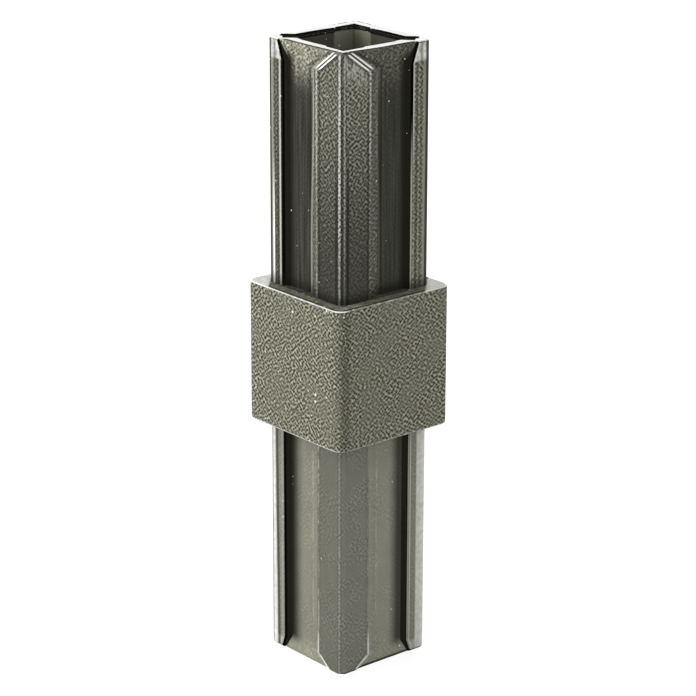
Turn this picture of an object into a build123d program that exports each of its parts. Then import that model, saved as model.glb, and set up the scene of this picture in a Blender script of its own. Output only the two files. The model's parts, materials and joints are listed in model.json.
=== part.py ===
from build123d import *
from math import sqrt
import os

# Inline connector for square tube, moulded in one piece.
# It stands on the end of its lower spigot, +Z up, origin at the centre of that end.
# The mould parts along the diagonal that runs from the left corner (-X, -Y) to the
# right corner (+X, +Y), so the front (+X, -Y) and back corners are formed differently.

# Tube and fit
tube_side = 25.0
tube_wall = 2.5
fit_gap = 0.1

# Collar between the two tube ends
collar_height = 25.0
collar_corner_radius = 2.0
collar_edge_radius = 0.4

# Spigots
spigot_length = 42.5
spigot_half = tube_side / 2 - tube_wall - fit_gap
spigot_corner_radius = 1.7
spigot_corner_chamfer = 1.0

# Recessed panel between the corner pads of each spigot face
panel_depth = 1.0
wide_pad_width = 6.2
wide_pad_slope = 2.4
narrow_pad_width = 4.3
narrow_pad_slope = 1.0

# Pointed pad ends and the panel run-out at the mouth of each spigot,
# with what each millimetre towards the mouth takes off the depth and the widths
upper_tip_length = 3.6
lower_tip_length = 2.4
tip_depth_loss = 0.19
tip_wide_pad_loss = 1.35
tip_narrow_pad_loss = 0.35
cutter_overlap = 0.3

# Hollow inside each spigot
panel_wall = 2.0
hollow_corner_radius = 2.2
pocket_depth = 0.45
pocket_half_width = 3.0
slit_half_width = 1.15
slit_end_wall = 2.3
web_thickness = 4.0

# Small roundings
mouth_radius = 0.4
rim_radius = 0.3
pad_edge_radius = 0.2
pick_tolerance = 0.01

# Sizes and heights that follow from those above
collar_side = tube_side
corner_reach = sqrt(2) * (spigot_half - spigot_corner_radius) + spigot_corner_radius
slit_reach = corner_reach - slit_end_wall
hollow_half = spigot_half - panel_depth - panel_wall
collar_bottom = spigot_length
collar_top = collar_bottom + collar_height
total_height = collar_top + spigot_length
hollow_depth = (total_height - web_thickness) / 2


def panel_outline(side, run):
    """Corners of the recess in one face, at a run of so many millimetres into the tip."""
    depth = panel_depth - run * tip_depth_loss
    narrow_width = narrow_pad_width - run * tip_narrow_pad_loss
    wide_width = wide_pad_width - run * tip_wide_pad_loss
    outer = -spigot_half - cutter_overlap
    inner = -spigot_half + depth
    narrow_edge = -spigot_half + narrow_width
    wide_edge = spigot_half - wide_width
    corners = [
        (side * (narrow_edge - cutter_overlap * narrow_pad_slope), outer),
        (side * (narrow_edge + depth * narrow_pad_slope), inner),
        (side * (wide_edge - depth * wide_pad_slope), inner),
        (side * (wide_edge + cutter_overlap * wide_pad_slope), outer),
    ]
    return corners


def is_pad_edge(edge):
    """Upright edges in the planes of the pads, but not where a corner rounding starts."""
    across, out = sorted((abs(edge.center().X), abs(edge.center().Y)))
    rounding_start = spigot_half - spigot_corner_radius
    in_pad_plane = abs(out - spigot_half) < pick_tolerance
    return in_pad_plane and abs(across - rounding_start) > pick_tolerance


with BuildPart() as tube_connector:
    # The two spigots as one square bar through the collar, rounded at both mouths
    with BuildSketch(Plane.XY) as bar_outline:
        Rectangle(2 * spigot_half, 2 * spigot_half)
        front_back = bar_outline.vertices().filter_by(lambda v: v.X * v.Y < 0)
        chamfer(front_back, length=spigot_corner_chamfer)
        left_right = bar_outline.vertices().filter_by(lambda v: v.X * v.Y > 0)
        fillet(left_right, radius=spigot_corner_radius)
    extrude(amount=total_height)
    bar_ends = tube_connector.faces().filter_by(Axis.Z)
    fillet(bar_ends.edges(), radius=mouth_radius)

    # Four recessed faces on each spigot, the front and back pads wide, the other two narrow
    face_directions = [(1, 0, 0), (0, 1, 0), (-1, 0, 0), (0, -1, 0)]
    spigots = (
        (0.0, 1, collar_bottom, lower_tip_length),
        (total_height, -1, collar_top, upper_tip_length),
    )
    for number, direction in enumerate(face_directions):
        side = 1 if number % 2 == 0 else -1
        for mouth, inward, shoulder, tip_length in spigots:
            tip_start = mouth + inward * tip_length
            beyond = mouth - inward * cutter_overlap
            start_plane = Plane(origin=(0, 0, tip_start), x_dir=direction, z_dir=(0, 0, 1))
            beyond_plane = Plane(origin=(0, 0, beyond), x_dir=direction, z_dir=(0, 0, 1))
            with BuildSketch(start_plane) as plain_section:
                Polygon(*panel_outline(side, 0), align=None)
            with BuildSketch(beyond_plane) as mouth_section:
                Polygon(*panel_outline(side, tip_length + cutter_overlap), align=None)
            loft(ruled=True, mode=Mode.SUBTRACT)
            extrude(plain_section.sketch, amount=shoulder - tip_start, mode=Mode.SUBTRACT)

    # Collar
    with BuildSketch(Plane.XY.offset(collar_bottom)) as collar_outline:
        RectangleRounded(collar_side, collar_side, collar_corner_radius)
    extrude(amount=collar_height)

    # Hollow from each mouth down to the web in the middle
    for mouth, direction in ((0.0, 1), (total_height, -1)):
        with BuildSketch(Plane.XY.offset(mouth)) as hollow_outline:
            Rectangle(2 * (hollow_half + pocket_depth), 2 * (hollow_half + pocket_depth))
            front_back = hollow_outline.vertices().filter_by(lambda v: v.X * v.Y < 0)
            fillet(front_back, radius=hollow_corner_radius)
            Rectangle(4 * spigot_half, 2 * pocket_half_width, rotation=-45, mode=Mode.INTERSECT)
            Rectangle(2 * hollow_half, 2 * hollow_half)
            Rectangle(2 * slit_reach, 2 * slit_half_width, rotation=45)
        extrude(amount=direction * hollow_depth, mode=Mode.SUBTRACT)

    # Edge roundings: collar shoulders, mouths of the hollow, and corner pads
    for height in (collar_bottom, collar_top):
        level_faces = tube_connector.faces().filter_by(Axis.Z)
        shoulder_face = level_faces.sort_by(lambda face: abs(face.center().Z - height))[0]
        fillet(shoulder_face.outer_wire().edges(), radius=collar_edge_radius)
    for end in (0, -1):
        mouth_face = tube_connector.faces().filter_by(Axis.Z).sort_by(Axis.Z)[end]
        fillet(mouth_face.inner_wires()[0].edges(), radius=rim_radius)
    fillet(tube_connector.edges().filter_by(Axis.Z).filter_by(is_pad_edge), radius=pad_edge_radius)

tube_connector.part.label = "tube_connector"
os.makedirs("parts", exist_ok=True)
export_step(tube_connector.part, "parts/tube_connector.step")
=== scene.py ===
"""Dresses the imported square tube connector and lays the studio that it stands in."""

import json
import math

import bpy
from mathutils import Euler, Matrix, Vector


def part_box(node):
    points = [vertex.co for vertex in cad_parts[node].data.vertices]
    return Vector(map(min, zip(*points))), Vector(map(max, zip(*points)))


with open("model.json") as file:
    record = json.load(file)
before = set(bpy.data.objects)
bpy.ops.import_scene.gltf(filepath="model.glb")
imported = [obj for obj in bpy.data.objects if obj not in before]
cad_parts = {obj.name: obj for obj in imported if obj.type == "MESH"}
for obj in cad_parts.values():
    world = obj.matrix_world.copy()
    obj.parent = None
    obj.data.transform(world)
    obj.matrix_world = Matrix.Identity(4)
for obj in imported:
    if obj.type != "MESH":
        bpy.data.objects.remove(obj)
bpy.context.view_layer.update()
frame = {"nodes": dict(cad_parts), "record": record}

bl_info = {
    "name": "Square Tube Connector",
    "version": (1, 0, 0),
    "blender": (4, 5, 0),
    "location": "3D View > Sidebar > Connector",
    "description": "Moulded finish and plain studio for a square tube connector",
    "category": "Object",
}

# The connector's node and its heights, from the frame, in millimetres
NODE = "tube_connector"
MM = 1000.0
LOW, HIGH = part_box(NODE)
MOUNT_HEIGHTS = {mount["name"]: mount["pos_m"][2] * MM for mount in frame["record"]["mounts"]}
COLLAR_TOP = MOUNT_HEIGHTS["upper_shoulder"]
COLLAR_BOTTOM = MOUNT_HEIGHTS["lower_shoulder"]
TOTAL_HEIGHT = HIGH.z * MM
MIDDLE = (COLLAR_TOP + COLLAR_BOTTOM) / 2

# Section of the spigots, in millimetres
PAD_PLANE = 9.9
PANEL_DEPTH = 1.0
WIDE_PAD = 6.2
WIDE_PAD_SLOPE = 2.4
NARROW_PAD = 4.3
WALL_FOOT = 4.6
CHAMFER = 1.0
CORNER_ROUNDING = 1.7
HOLLOW_LIMIT = 8.7
POCKET_REACH = 4.24
POCKET_DEPTH = 0.45

# Lengths of the pointed tips in millimetres, what each millimetre into them takes off the section,
# and the share that their slant takes off widths measured across
LOWER_TIP = 2.4
UPPER_TIP = 3.6
TIP_DEPTH_LOSS = 0.19
TIP_WIDE_LOSS = 1.35
TIP_NARROW_LOSS = 0.35
TIP_SLANT_LOSS = 0.4

# How squarely a face looks along X or Y, or how far up, where each kind of face fades in
PAD_FACING = (0.95, 0.975)
RAMP_FACING = (0.96, 0.94)
WALL_FACING = (0.84, 0.78)
LEVEL_FACING = (0.5, 0.8)
TOP_EDGE_FACING = (0.45, 0.6)
TOP_FACE_FACING = (0.97, 0.9)
BOTTOM_EDGE_FACING = (-0.05, -0.30)

# In the pairs below, all in millimetres, something fades in from the first number to the second.
# A pair whose name ends in LINE or SHADE is instead the middle of a thin soft line, and half of
# its width.

# Distances out from the middle where the collar, pads, walls and hollows start
COLLAR_START = (PAD_PLANE + 0.05, PAD_PLANE + 0.12)
PAD_START = (PAD_PLANE - 0.12, PAD_PLANE - 0.04)
# Where the painted shade line and the painted highlight on the walls' tops start
WALL_TOP = (PAD_PLANE - 0.4, PAD_PLANE - 0.25)
WALL_HIGHLIGHT_TOP = (PAD_PLANE - 0.27, PAD_PLANE - 0.17)
HOLLOW_START = (HOLLOW_LIMIT + 0.1, HOLLOW_LIMIT)

# Depths below a mouth
MOUTH_HALF = (24.0, 12.0)
COLLAR_HALF = (16.0, 34.0)
NEAR_MOUTH = (11.0, 3.0)
RIM_DEPTH = (0.5, 0.3)
INSIDE_DEPTH = (0.2, 0.6)
INSIDE_TOP = (0.9, 0.6)
SHOULDER_DEPTH = (20.0, 30.0)
WALL_SHADE_DEPTH = (0.8, 3.2)
UPPER_RUN_OUT = (9.0, 1.0)
LOWER_RUN_OUT = (5.0, 0.5)
PAD_GRAIN_DEPTH = (42.0, 20.0)
PAD_SHEEN_DEPTH = (8.0, 2.5)
PAD_TONE_DEPTH = (40.0, 2.0)
PALE_SIDE_PAD_DEPTH = (24.0, 8.0)
CHAMFER_DARK_DEPTH = (8.0, 28.0)
CHAMFER_FADING_DEPTH = (20.0, 40.0)
ROUNDING_SPREAD_DEPTH = (40.0, 0.0)
FOOT_DRIFT_DEPTH = (10.0, 34.0)
LOWER_TIP_DEPTH = (8.0, 4.0)
LOWER_FOOT_DEPTH = (33.0, 42.0)

# Height above the collar of the shade at the upper spigot's root, and runs into a pointed tip
ROOT_HEIGHT = (2.6, 0.2)
TIP_RUN = (0.0, 0.6)

# Distances from the edges of the wide pads and from the feet of their ramps
WIDE_EDGE_SHADE = (-0.45, 0.35)
WIDE_EDGE_LINE = (-0.1, 0.35)
RAMP_EDGE_LINE = (0.25, 0.38)
RAMP_RIGHT_LINE = (-0.05, 0.27)
RAMP_PAD_TONE = (0.4, 0.25)
SLANT_FIRST_LINE = (-0.05, 0.18)
SLANT_SECOND_LINE = (0.42, 0.18)
SLANT_SHADE = (0.18, 0.2)
LOWER_SLANT_LINE = (0.0, 0.25)
RAMP_FOOT_LINE = (0.0, 0.34)
PANEL_EDGE_LINE = (0.7, 0.4)
LOWER_FOOT_LINE = (0.1, 0.3)

# Distances from the edges of the narrow pads and from the feet of their walls
NARROW_EDGE_SHADE = (-0.8, 0.42)
NARROW_EDGE_LINE = (-0.5, 0.28)
NARROW_RIGHT_EDGE = (-0.35, -0.2)
NARROW_LEFT_EDGE = (-0.3, -0.15)
LOWER_WALL_FOOT = (3.4, 0.1)
UPPER_WALL_FOOT = (1.8, 0.0)

# Distances along a face from the nearest corner
CHAMFER_FACE = (CHAMFER + 0.05, CHAMFER - 0.05)
CHAMFER_SHADE = (CHAMFER + 0.35, 0.4)
CHAMFER_LEFT_LINE = (0.6, 0.36)
CHAMFER_RIGHT_LINE = (0.62, 0.3)
CHAMFER_LOWER_LINE = (0.55, 0.4)
ROUNDED = (CORNER_ROUNDING + 0.05, CORNER_ROUNDING - 0.05)
ROUNDING_SHEEN = (CORNER_ROUNDING + 0.5, CORNER_ROUNDING + 0.1)
ROUNDING_SHINE = (2.0, 1.0)
ROUNDING_SHADE = (CORNER_ROUNDING + 0.8, 0.45)
ROUNDING_LINE = (2.05, 0.32)
LOWER_CORNER_FACE = (1.5, 1.2)
UPPER_CORNER_FACE = (1.65, 1.4)
COLLAR_CORNER_SHADE = (1.3, 1.5)
PAD_END = (3.2, 2.6)

# Rims of the mouths: distances out from the middle, and from the rim's own edge
HOLLOW_EDGE = 7.15
POCKET_EDGE = 7.2
RIM_EDGE = 8.5
RIM_BAND = (0.1, -0.1)
RIM_LINE = (0.25, 0.3)
BACK_LINE = (9.3, 0.3)

# Places off the diagonals, as X + Y or X - Y: pockets, slits, rims and corners
POCKET_SIDE = (POCKET_REACH + 0.1, POCKET_REACH - 0.1)
POCKET_LINE = (POCKET_REACH, 0.3)
SLIT_LIP_LINE = (2.6, 1.1)
SLIT_SIDE = (2.6, 2.2)
SLIT_END = (16.6, 16.2)
RIM_SPREAD = (1.0, 9.0)
BACK_LINE_REACH = (7.0, 4.0)
# Where the painted highlight on the collar's top edge is full, near the front and back corners
HIGHLIGHT_CORNER = (3.0, 1.0)

# End faces of the collar: where they start to shine, as X + Y, and their shaded borders
CORNER_SHINE = (18.6, 19.2)
OUTER_BORDER = (11.6, 11.85)
INNER_BORDER = (10.5, 9.9)

# Sizes of the cloudy noises, in millimetres
PATCH_SIZE = 5.0
CLOUD_SIZE = 2.6
DULL_PATCH_SIZE = 2.0
BREAK_SIZE = 1.2
# Mottle in the painted light of the run-outs, tips and rounded corners
LIGHT_MOTTLE_SIZE = 0.9
MOTTLE_SIZE = 0.8
BEAD_SIZE = 0.6
STREAK_SIZE = 0.5

# Grain: the spacing of its dots, how far around them it is evened out, in millimetres, its
# contrast, and the darkest shade that it gives
GRAIN_SPACING = 0.46
GRAIN_ACROSS = 0.5
GRAIN_ALONG = 0.42
GRAIN_CONTRAST = 2.5
DARKEST_GRAIN = 0.2

# How far streaks and beaded lines are drawn out along the spigots
DRAWN_OUT = (1.0, 1.0, 0.03)
BEADED = (1.0, 1.0, 0.35)

# Pale specks: the spacing of their cells and their largest radius, in millimetres
LARGE_SPECKS = (3.0, 0.26)
SMALL_SPECKS = (1.5, 0.18)
FINE_DOTS = (1.0, 0.18)

# Orange peel of the spigots, against the collar's grain, and how strong their gloss is
PEEL_SIZE = 2.2
PEEL_HEIGHT = 0.35
UPPER_GLOSS = 0.18
LOWER_GLOSS = 0.5

# Camera, in metres, degrees and millimetres of lens
CAMERA_PLACE = (0.3420, -0.2891, 0.2068)
CAMERA_AZIMUTH = 49.80
CAMERA_PITCH = 18.66
CAMERA_ROLL = 0.12
CAMERA_LENS = 142.0
CAMERA_NEAREST = 0.01

# Lamps: direction from the connector's middle, distance and side of the square, in metres
LEFT_LAMP = ((-0.45, -0.85, 0.35), 0.7, 0.5)
RIGHT_LAMP = ((0.95, 0.25, 0.35), 0.7, 0.5)
BACK_LAMP = ((-0.72, 0.61, 0.40), 0.6, 0.45)

# Floor: its grey under the lamps, and its glow and the grey over it where it is seen
WHITE = (1.0, 1.0, 1.0, 1.0)
FLOOR_GREY = (0.80, 0.80, 0.80, 1.0)
FLOOR_GLOW = 0.9
SHADOW_GREY = (0.20, 0.20, 0.20, 1.0)


# Shader maths


class Channel:
    """One output of a node. Operators on numbers add Math nodes."""

    def __init__(self, graph, socket):
        self.graph = graph
        self.socket = socket

    def output(self, name):
        """Another output of the same node."""
        return Channel(self.graph, self.socket.node.outputs[name])

    def _math(self, operation, *values):
        return self.graph.node("ShaderNodeMath", {"operation": operation}, dict(enumerate(values)))

    def __add__(self, other):
        return self._math("ADD", self, other)

    def __radd__(self, other):
        return self._math("ADD", other, self)

    def __sub__(self, other):
        return self._math("SUBTRACT", self, other)

    def __rsub__(self, other):
        return self._math("SUBTRACT", other, self)

    def __mul__(self, other):
        return self._math("MULTIPLY", self, other)

    def __rmul__(self, other):
        return self._math("MULTIPLY", other, self)

    def __abs__(self):
        return self._math("ABSOLUTE", self)

    def __gt__(self, other):
        return self._math("GREATER_THAN", self, other)

    def __lt__(self, other):
        return self._math("LESS_THAN", self, other)

    def larger(self, other):
        """The larger of this and another value."""
        return self._math("MAXIMUM", self, other)

    def smaller(self, other):
        """The smaller of this and another value."""
        return self._math("MINIMUM", self, other)

    def rise(self, start, end):
        """0 up to start and 1 from end on, smooth between. A start above end falls instead."""
        low, high, before, after = start, end, 0.0, 1.0
        if start > end:
            low, high, before, after = end, start, 1.0, 0.0
        settings = {"interpolation_type": "SMOOTHSTEP"}
        inputs = {
            "Value": self,
            "From Min": low,
            "From Max": high,
            "To Min": before,
            "To Max": after,
        }
        return self.graph.node("ShaderNodeMapRange", settings, inputs, "Result")

    def line(self, centre, half_width):
        """A thin soft line where the value passes a centre."""
        return abs(self - centre).rise(half_width, half_width * 0.35)


class Graph:
    """The nodes of one material or world."""

    def __init__(self, tree):
        self.tree = tree
        tree.nodes.clear()

    def node(self, kind, settings=None, inputs=None, output=0):
        """Adds a node: its settings first, then the values or links of its sockets."""
        node = self.tree.nodes.new(kind)
        for name, value in (settings or {}).items():
            setattr(node, name, value)
        for name, value in (inputs or {}).items():
            if isinstance(value, Channel):
                self.tree.links.new(value.socket, node.inputs[name])
            else:
                node.inputs[name].default_value = value
        return Channel(self, node.outputs[output]) if node.outputs else node

    def mix(self, first, second, factor):
        """Mixes two colours, given as channels or as red, green and blue."""
        sockets = {0: factor}
        for index, colour in ((6, first), (7, second)):
            sockets[index] = colour if isinstance(colour, Channel) else (*colour, 1.0)
        return self.node("ShaderNodeMix", {"data_type": "RGBA"}, sockets, 2)

    def scaled(self, vector, scale):
        """A vector times three numbers."""
        settings = {"operation": "MULTIPLY"}
        return self.node("ShaderNodeVectorMath", settings, {0: vector, 1: scale})

    def split(self, vector):
        """The three numbers of a vector."""
        x = self.node("ShaderNodeSeparateXYZ", None, {"Vector": vector}, "X")
        return x, x.output("Y"), x.output("Z")

    def noise(self, vector, size, detail=2.0):
        """Cloudy noise from 0 to 1, with cells of about the given size in millimetres."""
        inputs = {"Vector": vector, "Scale": 1.0 / size, "Detail": detail}
        return self.node("ShaderNodeTexNoise", None, inputs, "Fac")

    def dots(self, across, along):
        """Distance to the nearest of the grain's dots, which are scattered over a face."""
        face = self.node("ShaderNodeCombineXYZ", None, {"X": across, "Y": along})
        inputs = {"Vector": face, "Scale": 1.0 / GRAIN_SPACING}
        return self.node("ShaderNodeTexVoronoi", {"voronoi_dimensions": "2D"}, inputs, "Distance")

    def spots(self, vector, spacing, radius, share):
        """Sparse round spots of up to a radius, in a share of cells a spacing apart."""
        inputs = {"Vector": vector, "Scale": 1.0 / spacing}
        distance = self.node("ShaderNodeTexVoronoi", None, inputs, "Distance")
        chance, size, _ = self.split(distance.output("Color"))
        reach = (size * 0.6 + 0.4) * (radius / spacing)
        return (distance < reach) * (chance < share)


def paint(graph, colour, layers):
    """Mixes layers of mask and colour over a colour, one after another."""
    for mask, over in layers:
        colour = graph.mix(colour, over, mask)
    return colour


def tinted(graph, colour, shade):
    """A colour times a number."""
    factors = graph.node("ShaderNodeCombineXYZ", None, {"X": shade, "Y": shade, "Z": shade})
    first = colour if isinstance(colour, Channel) else tuple(colour)
    return graph.node("ShaderNodeVectorMath", {"operation": "MULTIPLY"}, {0: first, 1: factors})


def grain_shade(grain):
    """The shade that grain around nought gives, never near black."""
    return (grain + 1.0).larger(DARKEST_GRAIN)


# Moulded plastic. Lengths are in millimetres, and strengths are shares from 0 to 1.


class Surface:
    """Where a point lies on the connector, as numbers in millimetres and masks from 0 to 1."""

    def __init__(self, graph):
        coordinates = graph.node("ShaderNodeTexCoord", None, None, "Object")
        self.place = graph.scaled(coordinates, (MM, MM, MM))
        x, y, z = graph.split(self.place)
        self.upper = z > MIDDLE
        self.lower = 1.0 - self.upper
        self.left_half = x + y < 0.0
        self.right_half = 1.0 - self.left_half
        self.back_half = x - y < 0.0
        self.front_half = 1.0 - self.back_half
        self.narrow = x * y > 0.0
        self.wide = 1.0 - self.narrow
        # Distances out from the middle and from the nearest corner, and X + Y and X - Y, which
        # grow away from the diagonals
        self.out = abs(x).larger(abs(y))
        across = abs(x).smaller(abs(y))
        self.skew = self.out - across
        self.off_diagonal = abs(x + y)
        self.slit_side = abs(x - y)
        # Depth below a mouth, with the halves of a spigot by its mouth and by the collar
        self.depth = z.smaller(TOTAL_HEIGHT - z)
        self.mouth_half = self.depth.rise(*MOUTH_HALF)
        self.collar_half = self.depth.rise(*COLLAR_HALF)
        self.root = z - COLLAR_TOP
        # Distances from the edges of the pads, which close in along the pointed tips
        run = (self.upper * (UPPER_TIP - LOWER_TIP) + LOWER_TIP - self.depth).larger(0.0)
        self.tip = run.rise(*TIP_RUN)
        slant = 1.0 - (run > 0.0) * TIP_SLANT_LOSS
        from_edge = self.skew - WIDE_PAD + run * TIP_WIDE_LOSS
        foot = (PANEL_DEPTH - run * TIP_DEPTH_LOSS) * (WIDE_PAD_SLOPE - 1.0)
        self.from_wide_edge = from_edge * slant
        self.from_foot = (from_edge - foot) * slant
        self.from_narrow_edge = self.skew - NARROW_PAD + run * TIP_NARROW_LOSS
        self.from_wall = WALL_FOOT - across * (self.narrow * 2.0 - 1.0)
        # Collar, rims, end faces and hollows
        normal_x, normal_y, normal_z = graph.split(coordinates.output("Normal"))
        top_rounding = normal_z.rise(*TOP_EDGE_FACING) * normal_z.rise(*TOP_FACE_FACING)
        self.collar = self.out.rise(*COLLAR_START)
        self.top_edge = self.collar * top_rounding
        self.bottom_edge = self.collar * normal_z.rise(*BOTTOM_EDGE_FACING)
        self.level = abs(normal_z).rise(*LEVEL_FACING)
        self.shoulder = self.level * self.depth.rise(*SHOULDER_DEPTH)
        self.mouth = self.level.larger(self.back_half) * self.depth.rise(*RIM_DEPTH)
        self.pocket = self.off_diagonal.rise(*POCKET_SIDE)
        self.inside = self.out.rise(*HOLLOW_START) * self.depth.rise(*INSIDE_DEPTH)
        # Pads, walls and ramps on the outside of the spigots
        self.outer = (1.0 - self.collar) * (1.0 - self.inside) * (1.0 - self.level)
        corner = self.skew.rise(*ROUNDED)
        beside_corner = self.outer * (1.0 - corner)
        facing = abs(normal_x).larger(abs(normal_y))
        flat = facing.rise(*PAD_FACING) * self.out.rise(*PAD_START)
        self.pad = self.outer * flat.larger(corner)
        self.wall = beside_corner * self.narrow * facing.rise(*WALL_FACING)
        self.ramp = beside_corner * self.wide * facing.rise(*RAMP_FACING)
        # Shade on the panels beside the walls
        lower_shade = self.from_wall.rise(*LOWER_WALL_FOOT).smaller(self.left_half * 0.15 + 0.85)
        shade = self.upper * self.from_wall.rise(*UPPER_WALL_FOOT) + self.lower * lower_shade
        self.shaded = shade * (1.0 - self.pad) * self.depth.rise(*WALL_SHADE_DEPTH)
        # Grain around nought: fine dark dots with light rims, less what lies around them
        along = x + y
        aside = graph.dots(along - GRAIN_ACROSS, z) + graph.dots(along + GRAIN_ACROSS, z)
        over_under = graph.dots(along, z - GRAIN_ALONG) + graph.dots(along, z + GRAIN_ALONG)
        self.grain = (graph.dots(along, z) - (aside + over_under) * 0.25) * GRAIN_CONTRAST
        self.patchy = graph.noise(self.place, PATCH_SIZE, 1.0).rise(0.38, 0.58)


def panel_colour(graph, at, look, light_mottle, beaded):
    """Panels between the pads: painted shade by the narrow pads, mottled painted light in
    run-outs.
    """
    # Painted light on the run-outs, stronger on the left
    upper_run_out = at.upper * at.depth.rise(*UPPER_RUN_OUT) * (at.left_half * 0.75 + 0.22)
    lower_run_out = at.lower * at.depth.rise(*LOWER_RUN_OUT) * (at.left_half * 0.5 + 0.25)
    near_mouth = at.depth.rise(*NEAR_MOUTH)
    upper_grain = (near_mouth * 0.5 + 0.12) * at.upper
    grain = at.grain * (upper_grain + at.lower * at.patchy * 0.14 + 0.05)
    streaks = graph.noise(graph.scaled(at.place, DRAWN_OUT), STREAK_SIZE) - 0.5
    streaks = streaks * (at.upper * (2.4 - near_mouth * 1.2) + 0.25)
    # Painted light: the right panels lighter
    paler = at.right_half * (at.lower * 0.04 + 0.07)
    # A painted shade line at the upper ramps' feet, and a painted highlight line at the lower tips
    foot_line = at.upper * at.wide * at.from_foot.line(*PANEL_EDGE_LINE) * 0.6
    tip_line = at.lower * at.wide * at.from_foot.line(*LOWER_FOOT_LINE) * beaded * 0.3
    # Painted light and shade: the lower panels lighter than the upper ones
    base = graph.mix(look.lower_panel, look.upper_panel, at.upper)
    base = graph.mix(base, look.run_out_light, (upper_run_out + lower_run_out) * (light_mottle * 0.45 + 0.55))
    return paint(graph, tinted(graph, base, grain_shade(streaks + grain + paler)), [
        (at.shaded, look.recess_shade),
        (foot_line, look.crease),
        (tip_line, look.edge_highlight),
    ])


def ramp_colour(graph, at, look, beaded):
    """Ramps beside the front and back pads, with a painted highlight along their edges with the
    pads.
    """
    grain = at.grain * (at.upper * 0.6 + at.lower * at.patchy * 0.16 + 0.05)
    # Strength of the painted highlight along the upper left edges
    fading = (1.0 - at.collar_half * 0.35) * (at.mouth_half * 0.45 + 0.55)
    highlight_strength = (beaded * 0.5 + 0.5) * (at.grain * 0.6 + 0.95) * fading
    edge_line = at.upper * at.left_half * at.from_wide_edge.line(*RAMP_EDGE_LINE) * highlight_strength
    pad_tone = at.lower * at.left_half * at.from_wide_edge.rise(*RAMP_PAD_TONE) * 0.8
    base = graph.mix(look.lower_ramp, look.upper_ramp, at.upper)
    return paint(graph, tinted(graph, base, grain_shade(grain)), [
        (edge_line, look.edge_highlight),
        (pad_tone, look.lower_pad),
    ])


def wide_pad_colour(graph, at, look, beaded):
    """Front and back pads, with the chamfer on the corner between them."""
    left, right, upper, lower = at.left_half, at.right_half, at.upper, at.lower
    upper_grain = upper * (at.depth.rise(*PAD_GRAIN_DEPTH) * 0.7 + 0.36)
    grain = at.grain * (upper_grain + lower * at.patchy * 0.28 + 0.05)
    # Painted sheen near the upper right mouth, painted shade and highlight lines along the pad
    # edges
    mouth_sheen = upper * right * at.depth.rise(*PAD_SHEEN_DEPTH) * beaded * 0.6
    edge_shade = at.from_wide_edge.line(*WIDE_EDGE_SHADE) * (upper * 0.6 + lower * 0.15)
    edge_line = lower * at.from_wide_edge.line(*WIDE_EDGE_LINE) * beaded * (left * 0.3 + 0.15)
    # The chamfer has painted shade beside a painted highlight line that the grain breaks up
    chamfer_shade = upper * at.skew.line(*CHAMFER_SHADE)
    chamfer_shade = chamfer_shade * at.depth.rise(*CHAMFER_DARK_DEPTH) * 0.95
    chamfer = upper * at.skew.rise(*CHAMFER_FACE) * 0.6
    right_line = right * at.skew.line(*CHAMFER_RIGHT_LINE) * 0.6
    upper_line = left * at.skew.line(*CHAMFER_LEFT_LINE) + right_line
    lower_line = left * at.skew.line(*CHAMFER_LOWER_LINE) * 0.45
    fading = 1.0 - at.depth.rise(*CHAMFER_FADING_DEPTH) * upper * 0.55
    broken = (beaded * 0.3 + 0.75) * (at.grain * 0.8 + 0.95).smaller(1.1)
    chamfer_line = (upper * upper_line + lower * lower_line) * fading * broken
    # Painted light and shade: upper pads darker towards the collar, the right pads lighter
    base = graph.mix(look.upper_pad_foot, look.upper_pad, at.depth.rise(*PAD_TONE_DEPTH))
    base = graph.mix(base, look.lower_pad, lower)
    return paint(graph, tinted(graph, base, grain_shade(grain) * (right * 0.27 + 0.9)), [
        (mouth_sheen, look.edge_highlight),
        (edge_shade, look.crease),
        (edge_line, look.edge_highlight),
        (chamfer_shade, look.crease),
        (chamfer, look.crease),
        (chamfer_line, look.edge_highlight),
        (chamfer_line * upper * left * 0.6, look.rim),
    ])


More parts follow.
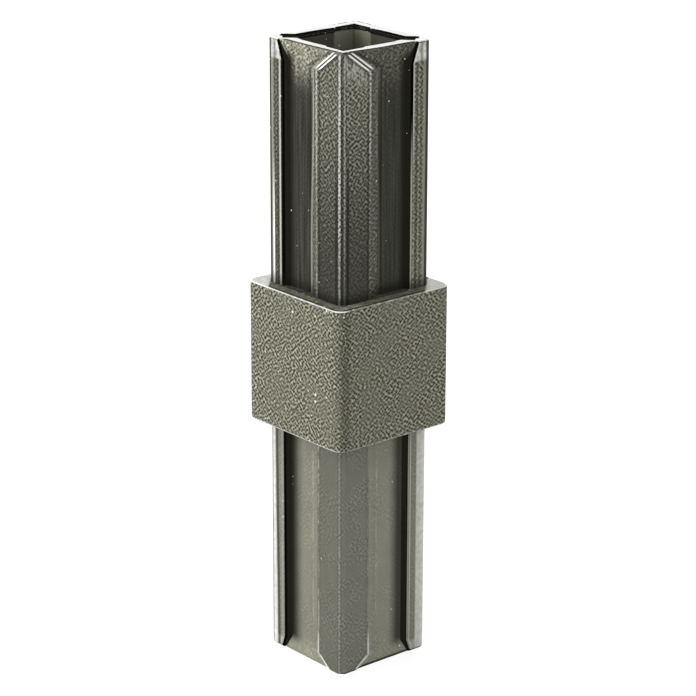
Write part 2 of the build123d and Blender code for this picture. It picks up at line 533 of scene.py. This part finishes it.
def narrow_pad_colour(graph, at, look, light_mottle):
    """Left and right pads and the rounded corner between them."""
    left, right, upper, lower = at.left_half, at.right_half, at.upper, at.lower
    # Edges with the walls: painted shade and painted highlight lines
    edge_shade = upper * (at.from_narrow_edge + left * 0.3).line(*NARROW_EDGE_SHADE) * 0.65
    edge_line = left * at.from_narrow_edge.line(*NARROW_EDGE_LINE) * (upper * 0.7 + 0.3)
    right_edge = right * at.from_narrow_edge.rise(*NARROW_RIGHT_EDGE)
    right_edge = right_edge * (lower * 0.7 + upper * at.mouth_half)
    left_edge = left * upper * at.from_narrow_edge.rise(*NARROW_LEFT_EDGE)
    # Rounded corner, reaching further round on the lower spigot: painted sheen, shine and shade
    reach = lower * (right * 0.75 + left * at.depth.rise(*ROUNDING_SPREAD_DEPTH) * 0.3)
    past_reach = at.skew - reach
    rounding = past_reach.rise(*ROUNDING_SHEEN)
    sheen = rounding * (upper * (left * 0.26 + 0.1) + lower * (light_mottle * 0.2 + 0.75))
    shine = left * 0.35 + at.skew.rise(*ROUNDING_SHINE) * 0.1 + 0.15
    shine = rounding * lower * shine * (light_mottle * 0.4 + 0.7)
    corner_shade = past_reach.line(*ROUNDING_SHADE)
    corner_shade = corner_shade * (upper * 0.5 + lower * left * 0.8)
    # A painted highlight line and painted shade along the corner
    corner_line = upper * left * at.skew.line(*ROUNDING_LINE) * at.collar_half * 0.95
    lower_outline = lower * left * at.skew.rise(*LOWER_CORNER_FACE) * 0.6
    upper_outline = upper * at.skew.rise(*UPPER_CORNER_FACE) * 0.92
    # Painted sheen on the tips
    tip_sheen = at.tip * (light_mottle * 0.5 + 0.5) * (upper * 0.5 + 0.3)
    grain = at.grain * (1.0 - rounding) * (upper * 0.5 + 0.2)
    # Painted light: upper pads lighter on the right and near the left mouth, lower left pads
    # lighter
    upper_paler = upper * (right * 0.75 + left * at.depth.rise(*PALE_SIDE_PAD_DEPTH) * 0.35)
    shade = grain_shade(grain) * (upper_paler + lower * left * 0.12 + 1.0)
    base = graph.mix(look.lower_narrow_pad, look.upper_narrow_pad, upper)
    return paint(graph, tinted(graph, base, shade), [
        (edge_shade, look.crease),
        (edge_line, look.edge_highlight),
        (right_edge, look.edge_highlight),
        (left_edge, look.fine_shade_line),
        (tip_sheen, look.rim),
        (sheen, look.edge_highlight),
        (shine, look.mouth),
        (corner_shade, look.crease),
        (corner_line, look.mouth),
        (lower_outline, look.crease),
        (upper_outline, look.crease),
    ])


def wall_colour(graph, at, look):
    """Walls of the narrow pads in painted shade, with painted lines along their tops."""
    # A painted shade line along the tops, and a painted highlight line on the right
    top_line = at.out.rise(*WALL_TOP)
    right_line = at.right_half * at.out.rise(*WALL_HIGHLIGHT_TOP)
    right_line = right_line * (at.upper * (1.0 - at.mouth_half) + at.lower * 0.7)
    return paint(graph, look.recess_shade, [
        (top_line, look.fine_shade_line),
        (right_line, look.edge_highlight),
    ])


def spigot_colour(graph, at, look):
    """Both spigots, with the painted highlight and shade lines along their edges."""
    # Mottle for the painted light of the run-outs, tips and rounded corners
    light_mottle = graph.noise(at.place, LIGHT_MOTTLE_SIZE, 3.0).rise(0.35, 0.62)
    beaded = graph.noise(graph.scaled(at.place, BEADED), BEAD_SIZE, 1.0).rise(0.42, 0.6)
    wide_pad = wide_pad_colour(graph, at, look, beaded)
    narrow_pad = narrow_pad_colour(graph, at, look, light_mottle)
    # Painted highlight lines along the ramps of the upper spigot
    beside_ramps = at.outer * at.wide * at.upper
    drift = at.depth.rise(*FOOT_DRIFT_DEPTH) * 0.55 - 0.2
    foot_line = (at.from_foot - drift).line(*RAMP_FOOT_LINE) * (at.left_half * 0.36 + 0.08)
    right_line = at.right_half * at.from_wide_edge.line(*RAMP_RIGHT_LINE)
    right_line = right_line * (at.mouth_half * 0.75 + 0.15) * (at.grain * 0.8 + 0.85)
    # Slanted ends of the front and back pads: two painted highlight lines, painted shade between
    slant = at.outer * at.wide * at.tip
    second_line = at.from_wide_edge.line(*SLANT_SECOND_LINE)
    slant_lines = at.from_wide_edge.line(*SLANT_FIRST_LINE).larger(second_line)
    slant_shade = at.upper * at.from_wide_edge.line(*SLANT_SHADE)
    # A painted highlight line on the lower slanted ends
    lower_line = at.lower * at.wide * at.from_wide_edge.line(*LOWER_SLANT_LINE)
    lower_line = lower_line * at.depth.rise(*LOWER_TIP_DEPTH) * 0.6
    # Painted shade at the lower mouth, and at the collar
    bottom_line = at.lower * at.depth.rise(*RIM_DEPTH) * (0.95 - at.left_half * 0.8)
    upper_foot_shade = at.upper * at.root.rise(*ROOT_HEIGHT) * 0.6
    lower_foot_shade = at.lower * at.depth.rise(*LOWER_FOOT_DEPTH) * 0.14
    return paint(graph, panel_colour(graph, at, look, light_mottle, beaded), [
        (at.ramp, ramp_colour(graph, at, look, beaded)),
        (at.pad, graph.mix(wide_pad, narrow_pad, at.narrow)),
        (at.wall, wall_colour(graph, at, look)),
        (beside_ramps * foot_line, look.edge_highlight),
        (beside_ramps * right_line, look.edge_highlight),
        (slant * slant_shade, look.crease),
        (slant * slant_lines, look.mouth),
        (lower_line, look.rim),
        (bottom_line, look.fine_shade_line),
        (upper_foot_shade + lower_foot_shade, look.crease),
    ])


def hollow_colour(graph, at, look):
    """Hollow walls in painted shade, with painted light in the pockets of the front and back
    corners.
    """
    # Painted light along the pockets' sides, and a painted shade line at the top
    return paint(graph, look.inside, [
        (at.pocket, look.pocket),
        (at.off_diagonal.line(*POCKET_LINE) * 0.6, look.pocket),
        (at.depth.rise(*INSIDE_TOP), look.fine_shade_line),
    ])


def mouth_colour(graph, at, look):
    """Rims in painted light and shade: pale inside, a fine dark line, a dull outer band, pale pad
    ends.
    """
    broken = graph.noise(at.place, BREAK_SIZE).rise(0.35, 0.55)
    aside = at.off_diagonal.rise(*RIM_SPREAD)
    pad_end = at.narrow * at.skew.rise(*PAD_END)
    # Painted shade: a dull band and a fine line on the outside, both widening from corner to sides
    from_rim_edge = at.out - (aside * (0.6 - at.left_half * 0.25) + RIM_EDGE)
    pale = from_rim_edge.rise(*RIM_BAND).larger(at.back_half).larger(pad_end)
    rim_line = at.front_half * from_rim_edge.line(*RIM_LINE) * (1.0 - pad_end)
    back_line = at.back_half * at.off_diagonal.rise(*BACK_LINE_REACH) * at.out.line(*BACK_LINE)
    # A painted dark line round the hollow, painted shade in the slits, painted highlights on their
    # lips
    inner_edge = aside * (at.back_half * 0.3 + 0.25) + HOLLOW_EDGE
    inner_edge = inner_edge.larger(at.wide * at.pocket * POCKET_DEPTH + POCKET_EDGE)
    slit_lip = at.narrow * at.front_half * at.slit_side.line(*SLIT_LIP_LINE)
    slit = at.narrow * at.back_half * at.slit_side.rise(*SLIT_SIDE)
    slit = slit * at.off_diagonal.rise(*SLIT_END)
    band = graph.mix(look.crease, look.shoulder, at.left_half * 0.7 + 0.3)
    return paint(graph, band, [
        (pale, look.mouth),
        (rim_line * (broken * 0.7 + 0.3), look.fine_shade_line),
        (back_line * broken * 0.8, look.crease),
        ((at.out < inner_edge) * (1.0 - slit_lip), look.fine_shade_line),
        (slit, look.fine_shade_line),
        (slit_lip * 0.8, look.mouth),
    ])


def collar_colour(graph, at, look):
    """The collar: grained faces, end faces with painted shine left and right, painted edge
    highlights.
    """
    shine = at.off_diagonal.rise(*CORNER_SHINE)
    mottle = graph.noise(at.place, MOTTLE_SIZE).rise(0.3, 0.7)
    # End faces: painted shine at the left and right, and painted shade along their borders
    shoulder = paint(graph, tinted(graph, look.shoulder, mottle * 0.6 + 0.7), [
        (shine * (mottle * 0.2 + 0.75), look.rim),
        (at.out.rise(*OUTER_BORDER) * (1.0 - shine) * 0.7, look.crease),
        (at.out.rise(*INNER_BORDER) * (1.0 - shine) * 0.6, look.crease),
    ])
    # Painted highlight on the top edge, full near the front and back corners, stronger on the left
    sides_highlight = at.left_half * 0.4 + shine * 0.4 + mottle * 0.3 + 0.2
    highlight_strength = at.off_diagonal.rise(*HIGHLIGHT_CORNER).larger(sides_highlight)
    corner_shade = at.wide * at.right_half * at.skew.line(*COLLAR_CORNER_SHADE) * 0.25
    grain = at.grain * (at.left_half * 0.12 + at.patchy * 0.4 + 0.6)
    shade = grain_shade(grain) * (1.0 - corner_shade)
    return paint(graph, tinted(graph, look.collar, shade), [
        # A painted reflection along the bottom edge, and the painted highlight along the top edge
        (at.bottom_edge * (at.left_half * 0.35 + 0.25), look.rim),
        (at.level, shoulder),
        (at.top_edge * highlight_strength, look.mouth),
    ])


def plastic_colour(graph, at, look):
    """The colour of every region, with slow clouds and pale specks."""
    colour = paint(graph, spigot_colour(graph, at, look), [
        (at.mouth, mouth_colour(graph, at, look)),
        (at.inside, hollow_colour(graph, at, look)),
        (at.collar.larger(at.shoulder), collar_colour(graph, at, look)),
    ])
    cloud = (graph.noise(at.place, CLOUD_SIZE) - 0.5) * 0.3
    large_specks = graph.spots(at.place, *LARGE_SPECKS, 0.12)
    small_specks = graph.spots(at.place, *SMALL_SPECKS, at.upper * 0.08 + 0.10)
    dotted = (at.collar + at.upper * at.wide * 0.45).smaller(1.0)
    dots = graph.spots(at.place, *FINE_DOTS, 0.34) * dotted
    specks = large_specks.larger(small_specks).larger(dots)
    return graph.mix(tinted(graph, colour, cloud + 1.0), look.speck, specks)


def plastic_bump(graph, at, look):
    """Spark-eroded grain on the collar, softer orange peel on the spigots."""
    grain_size = look.grain_size * MM
    grain = graph.noise(at.place, grain_size, 3.0) * at.collar
    peel = graph.noise(at.place, grain_size * PEEL_SIZE, 1.0) * (1.0 - at.collar) * PEEL_HEIGHT
    inputs = {
        "Height": grain + peel,
        "Strength": look.grain_strength,
        "Distance": look.grain_height,
    }
    return graph.node("ShaderNodeBump", None, inputs, "Normal")


def make_plastic(look):
    """The moulded plastic of the whole connector."""
    material = bpy.data.materials.new("moulded_plastic")
    material.use_nodes = True
    graph = Graph(material.node_tree)
    at = Surface(graph)
    patches = graph.noise(at.place, DULL_PATCH_SIZE, 3.0) * 0.12 - 0.06
    matt = at.collar * (look.collar_roughness - look.spigot_roughness)
    glossy = at.outer * (1.0 - at.wall) * (1.0 - at.shaded)
    sockets = {
        "Base Color": plastic_colour(graph, at, look),
        "Roughness": patches + matt + look.spigot_roughness,
        "Normal": plastic_bump(graph, at, look),
        "Specular IOR Level": 0.0,
        "Coat Weight": glossy * (at.upper * UPPER_GLOSS + at.lower * LOWER_GLOSS) * look.gloss,
        "Coat Roughness": look.gloss_roughness,
    }
    shader = graph.node("ShaderNodeBsdfPrincipled", None, sockets)
    graph.node("ShaderNodeOutputMaterial", None, {"Surface": shader})
    return material


def grey(level):
    """The plastic's warm grey at a brightness."""
    return (level, level * 0.985, level * 0.76)


def colour_property(name, description, default):
    """A colour that a user may change."""
    return bpy.props.FloatVectorProperty(
        name=name,
        description=description,
        default=default,
        size=3,
        min=0.0,
        max=1.0,
        subtype="COLOR",
    )


def share_property(name, description, default):
    """A share from 0 to 1 that a user may change."""
    return bpy.props.FloatProperty(
        name=name, description=description, default=default, min=0.0, max=1.0, subtype="FACTOR"
    )


def fine_length_property(name, description, default):
    """A small length that a user may change."""
    return bpy.props.FloatProperty(
        name=name, description=description, default=default, min=0.0, unit="LENGTH", precision=5
    )


class PlasticLook(bpy.types.PropertyGroup):
    """Colours and grain of the moulded plastic."""

    collar: colour_property("Collar", "Matt collar", grey(0.186))
    shoulder: colour_property("Shoulder", "Collar's end faces beside the spigot", grey(0.210))
    # Painted highlight and reflection: collar edges, the end faces' shine, pad tips and slant
    # lines
    rim: colour_property("Rims", "Pale edges of the collar and pad tips", (0.82, 0.82, 0.78))
    # Painted light: the lit rims of the hollows, and highlights on edges, corners and pad ends
    mouth: colour_property("Mouths", "Nearly white rims of the hollows", (0.97, 0.97, 0.95))
    # Painted shade darkens the hollows' walls, and painted light brightens their pockets
    inside: colour_property("Inside", "Walls of the hollows", grey(0.092))
    pocket: colour_property("Pocket", "Pockets in the hollows' corners", grey(0.240))
    # Painted shade on the walls beside the narrow pads and on the panels beside them
    recess_shade: colour_property("Recess", "Walls beside the narrow pads", grey(0.021))
    crease: colour_property("Creases", "Shaded lines along the edges", grey(0.015))
    # Painted shade: the darkest lines, on the walls, mouths, slits and the lower mouth's edge
    fine_shade_line: colour_property("Fine creases", "Darkest lines on walls and mouths", grey(0.003))
    # Painted highlight: pale lines and sheen along the edges of the pads, walls, ramps and
    # chamfers
    edge_highlight: colour_property("Worn edges", "Pale lines along the edges", (0.50, 0.50, 0.44))
    # Painted light on the panels' run-outs at the mouths
    run_out_light: colour_property("Run-out", "Pale panels at the mouths", grey(0.34))
    # Painted light and shade: one plastic, darker on the upper spigot, lighter on the lower one
    upper_panel: colour_property("Upper panel", "Panels of the upper spigot", grey(0.037))
    upper_ramp: colour_property("Upper ramp", "Ramps of the upper spigot", grey(0.110))
    upper_pad: colour_property("Upper pad", "Upper wide pads at the mouth", grey(0.150))
    upper_pad_foot: colour_property("Upper pad foot", "Upper wide pads at the collar", grey(0.051))
    upper_narrow_pad: colour_property("Upper narrow pad", "Upper side pads", grey(0.130))
    lower_panel: colour_property("Lower panel", "Panels of the lower spigot", grey(0.207))
    lower_ramp: colour_property("Lower ramp", "Ramps of the lower spigot", grey(0.220))
    lower_pad: colour_property("Lower pad", "Wide pads of the lower spigot", grey(0.141))
    lower_narrow_pad: colour_property("Lower narrow pad", "Lower side pads", grey(0.180))
    speck: colour_property("Specks", "Pale dust specks", (0.8, 0.8, 0.78))
    collar_roughness: share_property("Collar roughness", "Roughness of the collar", 0.7)
    spigot_roughness: share_property("Spigot roughness", "Roughness of the spigots", 0.36)
    gloss: share_property("Gloss", "Strength of the spigots' gloss", 1.0)
    gloss_roughness: share_property("Gloss roughness", "Roughness of the gloss", 0.3)
    grain_size: fine_length_property("Grain size", "Size of the eroded grain", 0.0004)
    grain_height: fine_length_property("Grain height", "Height of the eroded grain", 0.00012)
    grain_strength: share_property("Grain strength", "Strength of the grain's bump", 0.6)


class CONNECTOR_OT_finish_plastic(bpy.types.Operator):
    """Gives the connector its moulded plastic"""

    bl_idname = "connector.finish_plastic"
    bl_label = "Finish the plastic"

    def execute(self, context):
        connector = frame["nodes"][NODE]
        material = make_plastic(context.scene.connector_plastic)
        if not connector.material_slots:
            connector.data.materials.append(material)
        for slot in connector.material_slots:
            slot.material = material
        return {"FINISHED"}


# Stage


def seen_rays(graph):
    """1 for rays that see a background: from the camera, off gloss or through glass."""
    rays = graph.node("ShaderNodeLightPath", None, None, "Is Camera Ray")
    return rays.larger(rays.output("Is Glossy Ray")).larger(rays.output("Is Transmission Ray"))


def make_floor(size):
    """A plain pale floor, white to the camera apart from the connector's soft shadow."""
    half = size / 2
    corners = [(-half, -half, 0), (half, -half, 0), (half, half, 0), (-half, half, 0)]
    mesh = bpy.data.meshes.new("floor")
    mesh.from_pydata(corners, [], [(0, 1, 2, 3)])
    floor = bpy.data.objects.new("floor", mesh)
    bpy.context.scene.collection.objects.link(floor)
    material = bpy.data.materials.new("pale_floor")
    material.use_nodes = True
    graph = Graph(material.node_tree)
    lit = graph.node("ShaderNodeBsdfDiffuse", None, {"Color": FLOOR_GREY})
    glow = graph.node("ShaderNodeEmission", None, {"Color": WHITE, "Strength": FLOOR_GLOW})
    shadowed = graph.node("ShaderNodeBsdfDiffuse", None, {"Color": SHADOW_GREY})
    white = graph.node("ShaderNodeAddShader", None, {0: glow, 1: shadowed})
    mixed = graph.node("ShaderNodeMixShader", None, {0: seen_rays(graph), 1: lit, 2: white})
    graph.node("ShaderNodeOutputMaterial", None, {"Surface": mixed})
    mesh.materials.append(material)


def make_world(strength):
    """A soft grey world, white where it is seen."""
    world = bpy.data.worlds.new("studio")
    bpy.context.scene.world = world
    world.use_nodes = True
    graph = Graph(world.node_tree)
    lit = graph.node("ShaderNodeBackground", None, {"Color": WHITE, "Strength": strength})
    white = graph.node("ShaderNodeBackground", None, {"Color": WHITE, "Strength": 1.0})
    mixed = graph.node("ShaderNodeMixShader", None, {0: seen_rays(graph), 1: lit, 2: white})
    graph.node("ShaderNodeOutputWorld", None, {"Surface": mixed})


def make_lamp(name, direction, distance, size, power):
    """A square soft lamp in a direction from the connector's middle, turned towards it."""
    data = bpy.data.lights.new(name, "AREA")
    data.shape = "SQUARE"
    data.size = size
    data.energy = power
    lamp = bpy.data.objects.new(name, data)
    towards = Vector(direction).normalized()
    lamp.location = (LOW + HIGH) / 2 + towards * distance
    lamp.rotation_euler = towards.to_track_quat("Z", "Y").to_euler()
    lamp.visible_camera = False
    bpy.context.scene.collection.objects.link(lamp)


def make_camera():
    """The camera at the photograph's place and angle."""
    data = bpy.data.cameras.new("camera")
    data.lens = CAMERA_LENS
    data.clip_start = CAMERA_NEAREST
    camera = bpy.data.objects.new("camera", data)
    tilt, turn = math.radians(90.0 - CAMERA_PITCH), math.radians(CAMERA_AZIMUTH)
    roll = Matrix.Rotation(math.radians(CAMERA_ROLL), 3, "Z")
    camera.location = CAMERA_PLACE
    camera.rotation_euler = (Euler((tilt, 0.0, turn)).to_matrix() @ roll).to_euler()
    bpy.context.scene.collection.objects.link(camera)
    bpy.context.scene.camera = camera


def power_property(name, description, default):
    """A lamp's power that a user may change."""
    return bpy.props.FloatProperty(
        name=name, description=description, default=default, min=0.0, unit="POWER"
    )


class StageLook(bpy.types.PropertyGroup):
    """Floor, world and lamps."""

    floor_size: bpy.props.FloatProperty(
        name="Floor size",
        description="Side of the square floor",
        default=6.0,
        min=0.5,
        unit="LENGTH",
    )
    world_strength: bpy.props.FloatProperty(
        name="World strength", description="Soft light from all round", default=0.45, min=0.0
    )
    left_power: power_property("Left lamp", "Power of the lamp on the left", 4.0)
    right_power: power_property("Right lamp", "Power of the lamp on the right", 1.15)
    back_power: power_property("Back lamp", "Power of the lamp behind, for the rims", 3.0)


class CONNECTOR_OT_lay_stage(bpy.types.Operator):
    """Lays the floor, world, lamps and camera"""

    bl_idname = "connector.lay_stage"
    bl_label = "Lay the stage"

    def execute(self, context):
        look = context.scene.connector_stage
        make_floor(look.floor_size)
        make_world(look.world_strength)
        make_lamp("left_lamp", *LEFT_LAMP, look.left_power)
        make_lamp("right_lamp", *RIGHT_LAMP, look.right_power)
        make_lamp("back_lamp", *BACK_LAMP, look.back_power)
        make_camera()
        context.scene.view_settings.view_transform = "Standard"
        return {"FINISHED"}


class CONNECTOR_PT_panel(bpy.types.Panel):
    """The connector's operators and settings"""

    bl_label = "Square Tube Connector"
    bl_idname = "CONNECTOR_PT_panel"
    bl_space_type = "VIEW_3D"
    bl_region_type = "UI"
    bl_category = "Connector"

    def draw(self, context):
        column = self.layout.column()
        scene = context.scene
        for group, operator in (
            (scene.connector_plastic, CONNECTOR_OT_finish_plastic),
            (scene.connector_stage, CONNECTOR_OT_lay_stage),
        ):
            for name in group.__annotations__:
                column.prop(group, name)
            column.operator(operator.bl_idname)


CLASSES = (
    PlasticLook,
    StageLook,
    CONNECTOR_OT_finish_plastic,
    CONNECTOR_OT_lay_stage,
    CONNECTOR_PT_panel,
)


def register():
    for cls in CLASSES:
        bpy.utils.register_class(cls)
    bpy.types.Scene.connector_plastic = bpy.props.PointerProperty(type=PlasticLook)
    bpy.types.Scene.connector_stage = bpy.props.PointerProperty(type=StageLook)


def unregister():
    del bpy.types.Scene.connector_stage
    del bpy.types.Scene.connector_plastic
    for cls in reversed(CLASSES):
        bpy.utils.unregister_class(cls)


def main():
    """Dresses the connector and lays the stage."""
    register()
    bpy.ops.connector.finish_plastic()
    bpy.ops.connector.lay_stage()


if __name__ == "__main__":
    main()
